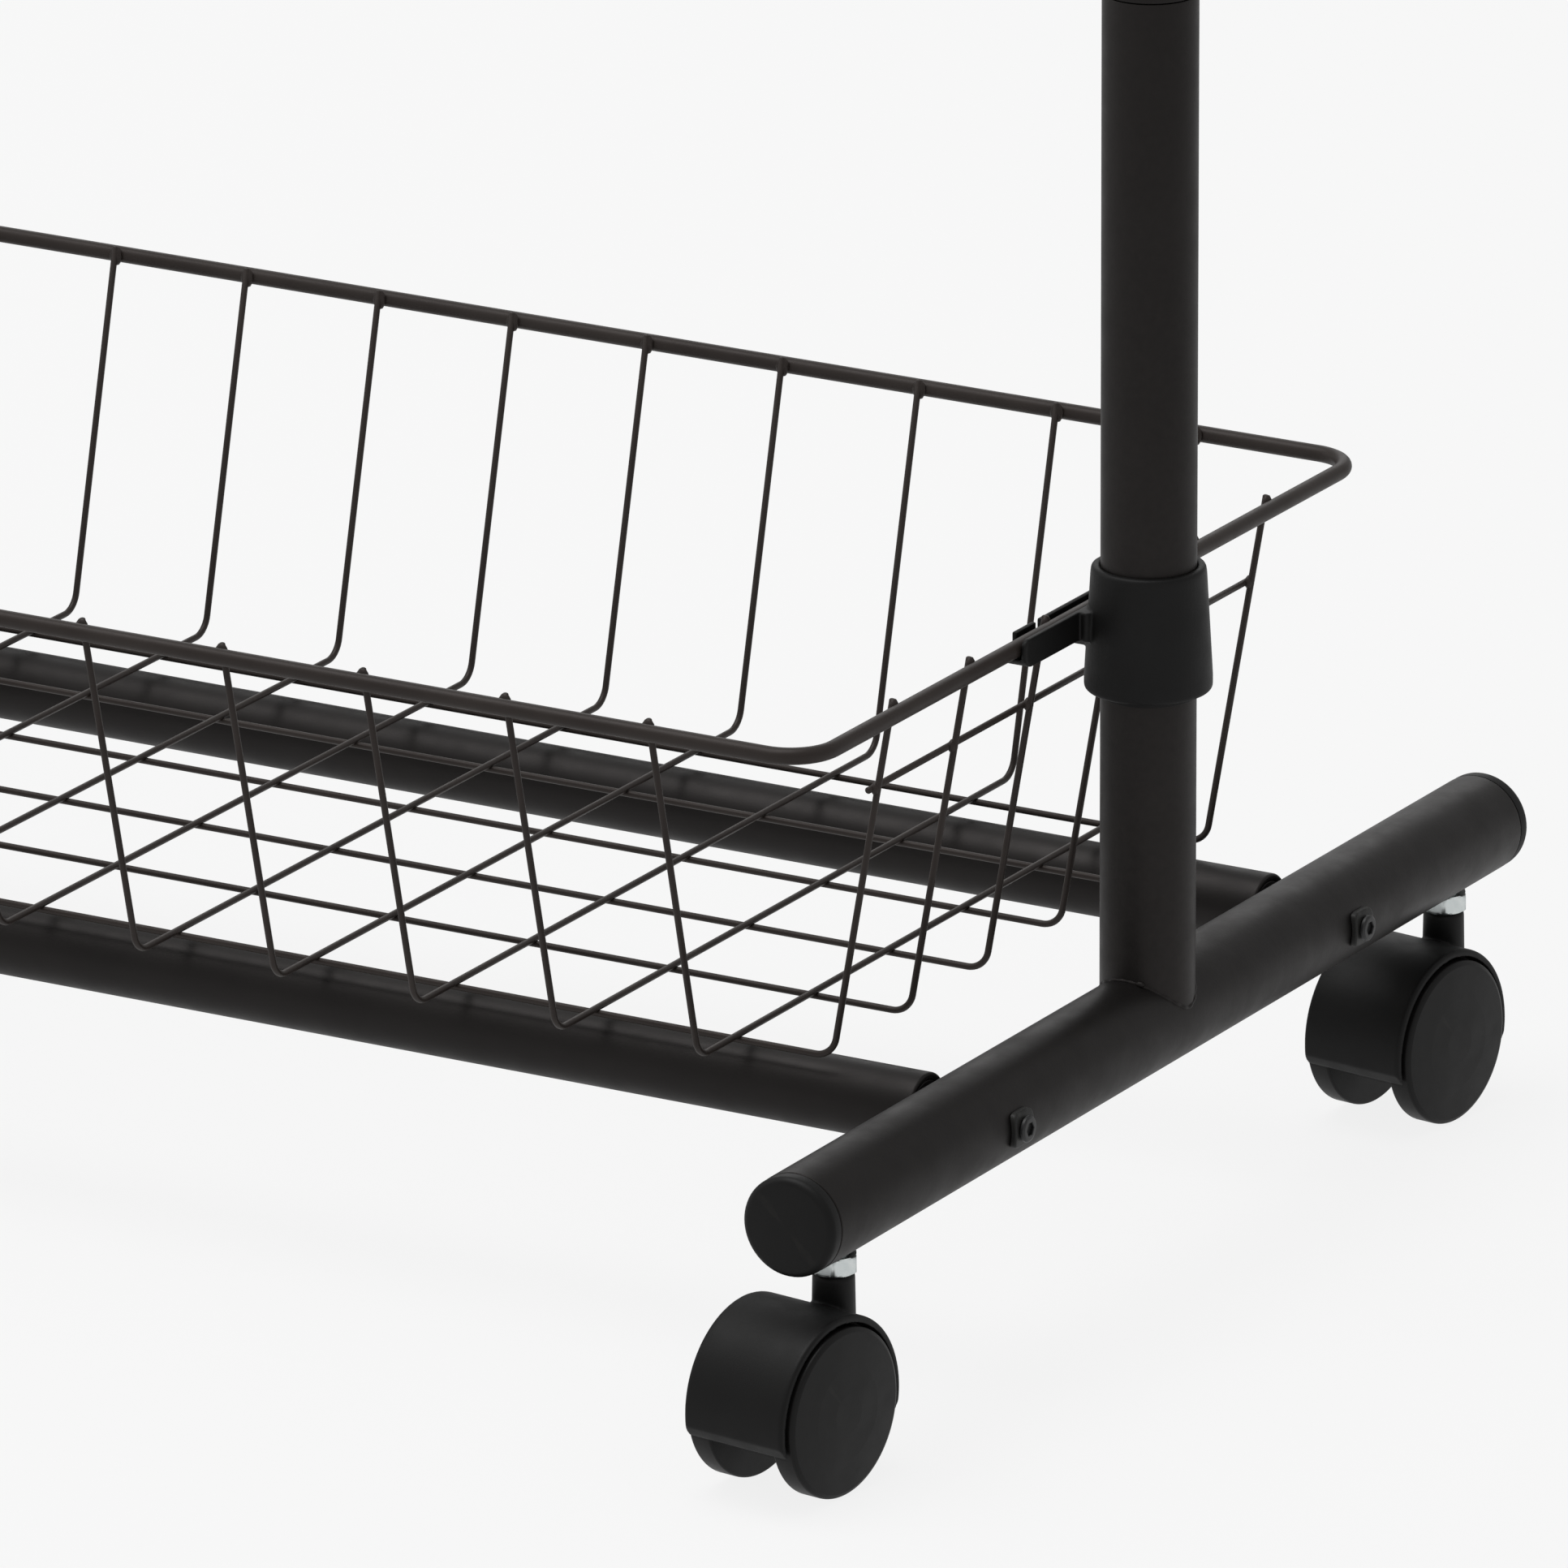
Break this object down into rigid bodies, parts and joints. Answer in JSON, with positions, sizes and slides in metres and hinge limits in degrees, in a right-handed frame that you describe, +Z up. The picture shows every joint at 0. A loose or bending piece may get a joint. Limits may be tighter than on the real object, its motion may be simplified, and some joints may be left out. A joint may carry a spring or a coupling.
{
  "type": "rolling clothes rack",
  "caption": "Black tubular clothes rack on twin-wheel casters with a lift-off wire basket over its base and a hanging rail across the top.",
  "frame": {"origin": "floor level, in the middle of the rack's bounding box", "axes": "+Z up, +X to the right along the rack's length, -Y to the front"},
  "size_m": [0.8956, 0.443, 1.5964],
  "materials": {
    "steel": "satin black powder coat",
    "wire": "satin black dip coat",
    "moulded": "moulded, fine texture",
    "wheel": "moulded, smooth",
    "washer": "satin black",
    "bolt": "black oxide",
    "zinc": "bright zinc plate"
  },
  "bodies": {
    "frame": {"right_leg": "steel", "right_lower_post": "steel", "right_middle_post": "steel", "right_upper_post": "steel", "right_lower_post_joiner": "steel", "right_upper_post_joiner": "steel", "right_bracket_sleeve": "moulded", "right_basket_bracket": "moulded", "right_rail_corner": "moulded", "right_front_leg_cap": "moulded", "right_front_saddle_washer": "washer", "right_front_bolt": "bolt", "right_front_insert": "steel", "right_front_caster_stem": "zinc", "right_rear_leg_cap": "moulded", "right_rear_saddle_washer": "washer", "right_rear_bolt": "bolt", "right_rear_insert": "steel", "right_rear_caster_stem": "zinc", "left_leg": "steel", "left_lower_post": "steel", "left_middle_post": "steel", "left_upper_post": "steel", "left_lower_post_joiner": "steel", "left_upper_post_joiner": "steel", "left_bracket_sleeve": "moulded", "left_basket_bracket": "moulded", "left_rail_corner": "moulded", "left_front_leg_cap": "moulded", "left_front_saddle_washer": "washer", "left_front_bolt": "bolt", "left_front_insert": "steel", "left_front_caster_stem": "zinc", "left_rear_leg_cap": "moulded", "left_rear_saddle_washer": "washer", "left_rear_bolt": "bolt", "left_rear_insert": "steel", "left_rear_caster_stem": "zinc", "front_cross_tube": "steel", "rear_cross_tube": "steel", "hanging_rail": "steel"},
    "right_front_caster": {"right_front_caster_housing": "moulded", "right_front_caster_axle": "zinc"},
    "right_front_outer_wheel": {"right_front_outer_wheel": "wheel"},
    "right_front_inner_wheel": {"right_front_inner_wheel": "wheel"},
    "right_rear_caster": {"right_rear_caster_housing": "moulded", "right_rear_caster_axle": "zinc"},
    "right_rear_outer_wheel": {"right_rear_outer_wheel": "wheel"},
    "right_rear_inner_wheel": {"right_rear_inner_wheel": "wheel"},
    "left_front_caster": {"left_front_caster_housing": "moulded", "left_front_caster_axle": "zinc"},
    "left_front_outer_wheel": {"left_front_outer_wheel": "wheel"},
    "left_front_inner_wheel": {"left_front_inner_wheel": "wheel"},
    "left_rear_caster": {"left_rear_caster_housing": "moulded", "left_rear_caster_axle": "zinc"},
    "left_rear_outer_wheel": {"left_rear_outer_wheel": "wheel"},
    "left_rear_inner_wheel": {"left_rear_inner_wheel": "wheel"},
    "basket": {"basket_rim": "wire", "basket_wires": "wire"}
  },
  "joints": [
    {"name": "right_front_swivel", "type": "hinge", "parent": "frame", "child": "right_front_caster", "pos_m": [0.4285, -0.17214, 0.053], "axis": [0, 0, 1], "continuous": true},
    {"name": "right_front_outer_wheel_spin", "type": "hinge", "parent": "right_front_caster", "child": "right_front_outer_wheel", "pos_m": [0.42608, -0.19159, 0.025], "axis": [0.9923, -0.1236, 0], "continuous": true},
    {"name": "right_front_inner_wheel_spin", "type": "hinge", "parent": "right_front_caster", "child": "right_front_inner_wheel", "pos_m": [0.42608, -0.19159, 0.025], "axis": [0.9923, -0.1236, 0], "continuous": true},
    {"name": "right_rear_swivel", "type": "hinge", "parent": "frame", "child": "right_rear_caster", "pos_m": [0.4285, 0.19486, 0.053], "axis": [0, 0, 1], "continuous": true},
    {"name": "right_rear_outer_wheel_spin", "type": "hinge", "parent": "right_rear_caster", "child": "right_rear_outer_wheel", "pos_m": [0.42608, 0.17541, 0.025], "axis": [0.9923, -0.1236, 0], "continuous": true},
    {"name": "right_rear_inner_wheel_spin", "type": "hinge", "parent": "right_rear_caster", "child": "right_rear_inner_wheel", "pos_m": [0.42608, 0.17541, 0.025], "axis": [0.9923, -0.1236, 0], "continuous": true},
    {"name": "left_front_swivel", "type": "hinge", "parent": "frame", "child": "left_front_caster", "pos_m": [-0.4285, -0.17214, 0.053], "axis": [0, 0, 1], "continuous": true},
    {"name": "left_front_outer_wheel_spin", "type": "hinge", "parent": "left_front_caster", "child": "left_front_outer_wheel", "pos_m": [-0.42608, -0.19159, 0.025], "axis": [0.9923, 0.1236, 0], "continuous": true},
    {"name": "left_front_inner_wheel_spin", "type": "hinge", "parent": "left_front_caster", "child": "left_front_inner_wheel", "pos_m": [-0.42608, -0.19159, 0.025], "axis": [0.9923, 0.1236, 0], "continuous": true},
    {"name": "left_rear_swivel", "type": "hinge", "parent": "frame", "child": "left_rear_caster", "pos_m": [-0.4285, 0.19486, 0.053], "axis": [0, 0, 1], "continuous": true},
    {"name": "left_rear_outer_wheel_spin", "type": "hinge", "parent": "left_rear_caster", "child": "left_rear_outer_wheel", "pos_m": [-0.42608, 0.17541, 0.025], "axis": [0.9923, 0.1236, 0], "continuous": true},
    {"name": "left_rear_inner_wheel_spin", "type": "hinge", "parent": "left_rear_caster", "child": "left_rear_inner_wheel", "pos_m": [-0.42608, 0.17541, 0.025], "axis": [0.9923, 0.1236, 0], "continuous": true},
    {"name": "basket_lift_off", "type": "slide", "parent": "frame", "child": "basket", "axis": [0, 0, 1], "range_m": [0, 0.16]}
  ]
}
